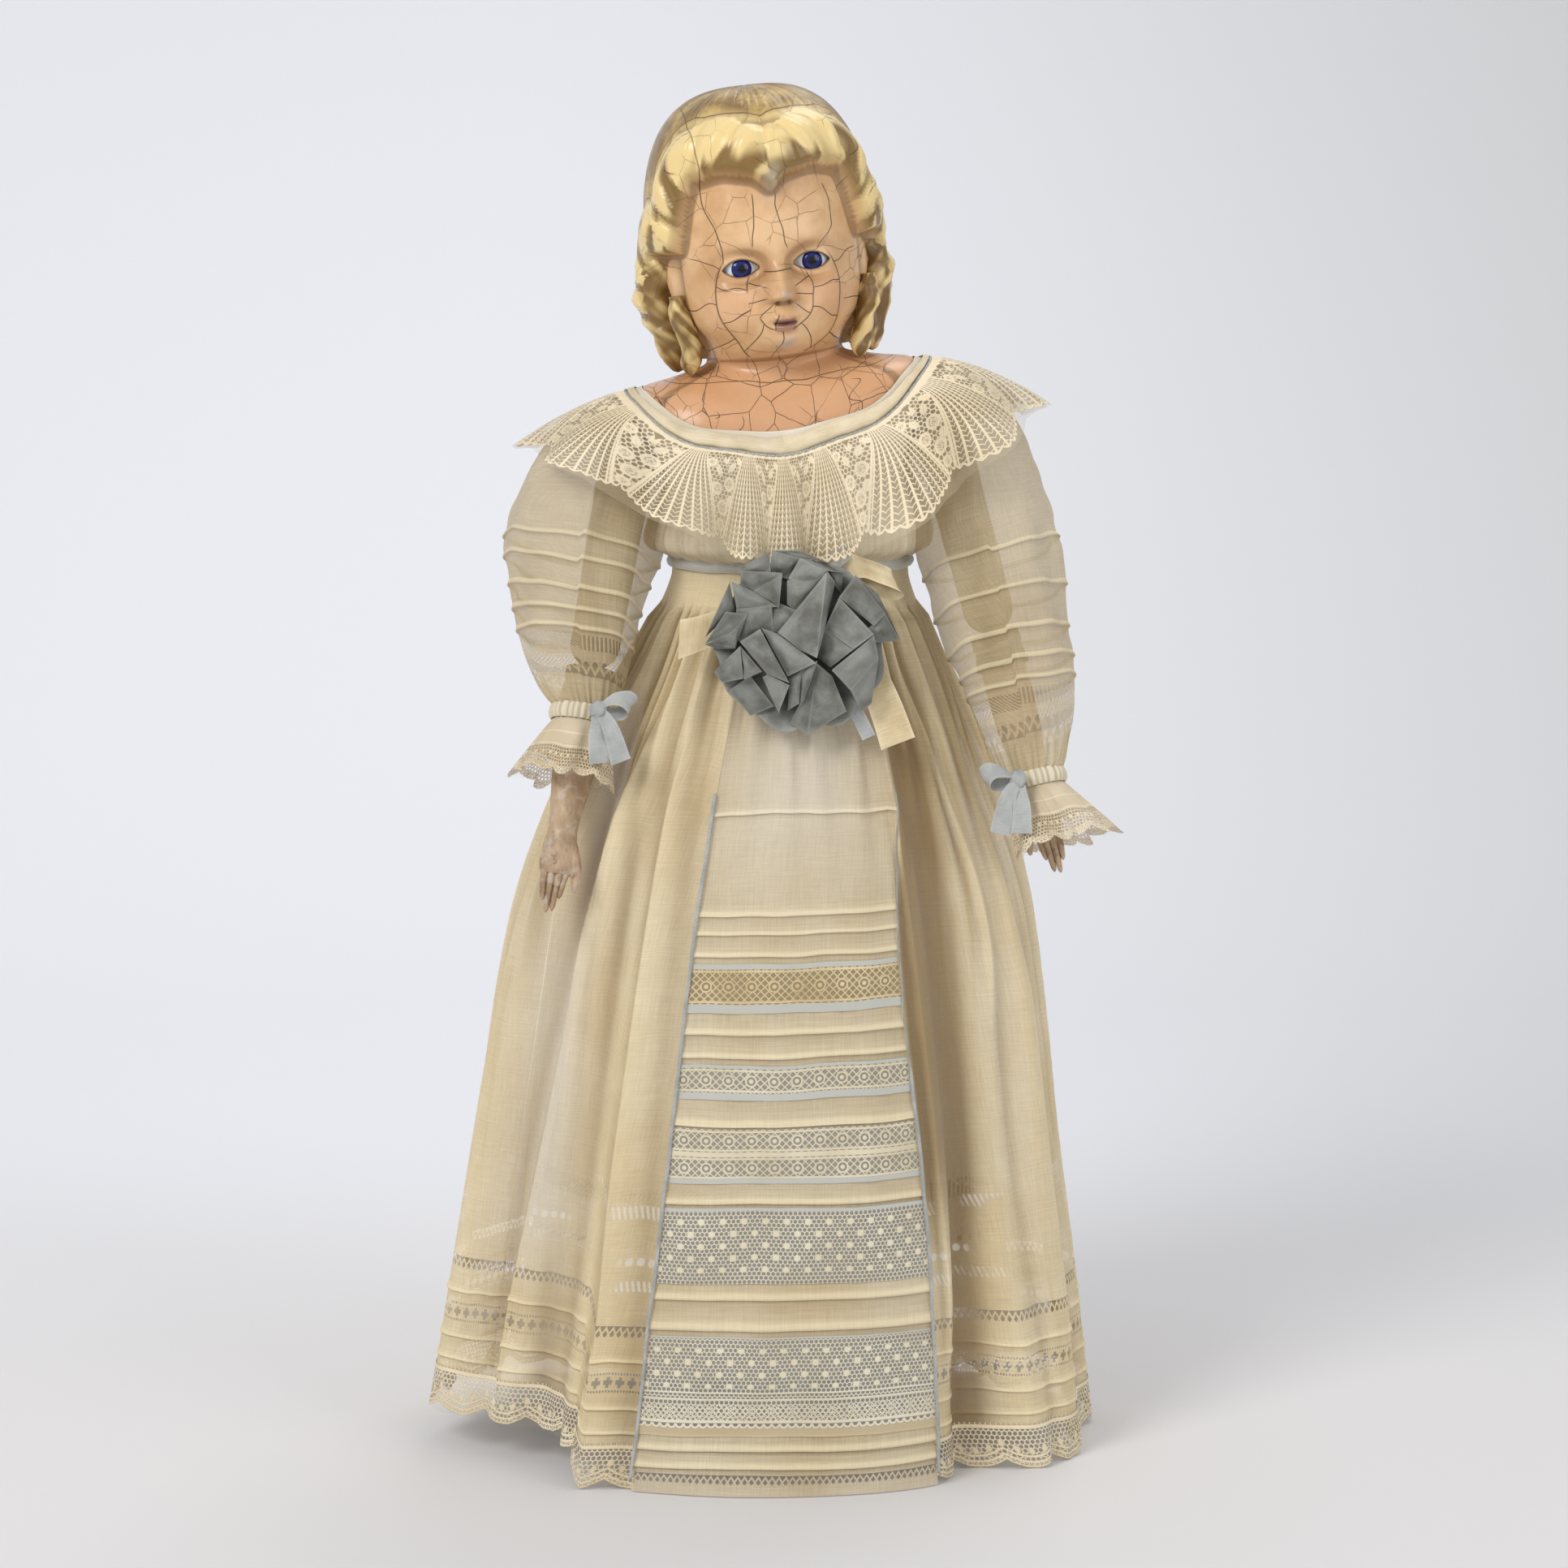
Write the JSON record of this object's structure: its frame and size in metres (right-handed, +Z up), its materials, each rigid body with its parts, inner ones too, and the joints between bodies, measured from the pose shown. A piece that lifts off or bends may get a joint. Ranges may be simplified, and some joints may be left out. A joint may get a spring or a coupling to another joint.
{
  "type": "papier-mache doll",
  "caption": "Antique-style doll with a wax-over-papier-mache shoulder head, glass eyes, a stuffed body with wooden limbs, and a tucked, lace-trimmed gown.",
  "frame": {"origin": "on the floor, at the centre of the doll's footprint box", "axes": "+Z up; the doll faces -Y; its own left hand is on the +X side"},
  "size_m": [0.2933, 0.2142, 0.5991],
  "materials": {
    "head_wax": "papier-mache under a satin wax coat, finely cracked",
    "eye_glass": "polished",
    "plaster": "matt",
    "body_cotton": "plain weave, stuffed",
    "limb_wood": "worn paint",
    "thread": "twisted",
    "linen": "fine white weave",
    "muslin": "sheer, aged cream",
    "lace": "cotton lace",
    "blue_silk": "faded silk taffeta",
    "cream_silk": "silk ribbon",
    "blue_ribbon": "faded silk ribbon"
  },
  "bodies": {
    "torso": {"shoulder_head": "head_wax", "eye_left": "eye_glass", "eye_right": "eye_glass", "eye_bed_left": "plaster", "eye_bed_right": "plaster", "torso": "body_cotton", "chemise": "linen", "petticoat": "linen", "bodice": "muslin", "neck_binding": "muslin", "front_panel": "muslin", "skirt_left": "muslin", "skirt_right": "muslin", "skirt_back": "muslin", "lace_collar": "lace", "hem_lace_left": "lace", "hem_lace_right": "lace", "hem_lace_back": "lace", "lace_insertion_1": "lace", "lace_insertion_2": "lace", "lace_insertion_3": "lace", "lace_insertion_4": "lace", "lace_insertion_5": "lace", "rosette": "blue_silk", "rosette_bow": "cream_silk", "waist_ribbon": "blue_ribbon", "piping_left": "blue_ribbon", "piping_right": "blue_ribbon"},
    "arm_left": {"upper_arm_left": "body_cotton", "sleeve_left": "muslin"},
    "forearm_left": {"forearm_left": "limb_wood", "elbow_casing_left": "body_cotton", "elbow_tie_left": "thread", "cuff_band_left": "muslin", "cuff_frill_left": "lace", "cuff_bow_left": "blue_ribbon"},
    "leg_left": {"thigh_left": "body_cotton"},
    "shin_left": {"lower_leg_left": "limb_wood", "knee_casing_left": "body_cotton", "knee_tie_left": "thread"},
    "arm_right": {"upper_arm_right": "body_cotton", "sleeve_right": "muslin"},
    "forearm_right": {"forearm_right": "limb_wood", "elbow_casing_right": "body_cotton", "elbow_tie_right": "thread", "cuff_band_right": "muslin", "cuff_frill_right": "lace", "cuff_bow_right": "blue_ribbon"},
    "leg_right": {"thigh_right": "body_cotton"},
    "shin_right": {"lower_leg_right": "limb_wood", "knee_casing_right": "body_cotton", "knee_tie_right": "thread"}
  },
  "joints": [
    {"name": "shoulder_left", "type": "hinge", "parent": "torso", "child": "arm_left", "pos_m": [0.06665, 0.0009, 0.46228], "axis": [-1, 0, 0], "range_deg": [-10, 45], "deforming": ["sleeve_left", "lace_collar"]},
    {"name": "elbow_left", "type": "hinge", "parent": "arm_left", "child": "forearm_left", "pos_m": [0.09017, -0.02688, 0.37453], "axis": [-1, 0, 0], "range_deg": [0, 50], "deforming": ["sleeve_left"]},
    {"name": "hip_left", "type": "hinge", "parent": "torso", "child": "leg_left", "pos_m": [0.0217, 0.0009, 0.2416], "axis": [-1, 0, 0], "range_deg": [-8, 12]},
    {"name": "knee_left", "type": "hinge", "parent": "leg_left", "child": "shin_left", "pos_m": [0.0217, 0.0009, 0.1496], "axis": [1, 0, 0], "range_deg": [0, 20]},
    {"name": "shoulder_right", "type": "hinge", "parent": "torso", "child": "arm_right", "pos_m": [-0.06451, 0.0009, 0.44742], "axis": [-1, 0, 0], "range_deg": [0, 45], "deforming": ["sleeve_right", "lace_collar"]},
    {"name": "elbow_right", "type": "hinge", "parent": "arm_right", "child": "forearm_right", "pos_m": [-0.0797, -0.03159, 0.35945], "axis": [-1, 0, 0], "range_deg": [0, 50], "deforming": ["sleeve_right"]},
    {"name": "hip_right", "type": "hinge", "parent": "torso", "child": "leg_right", "pos_m": [-0.0283, 0.0009, 0.2416], "axis": [-1, 0, 0], "range_deg": [-8, 12]},
    {"name": "knee_right", "type": "hinge", "parent": "leg_right", "child": "shin_right", "pos_m": [-0.0283, 0.0009, 0.1496], "axis": [1, 0, 0], "range_deg": [0, 20]}
  ]
}
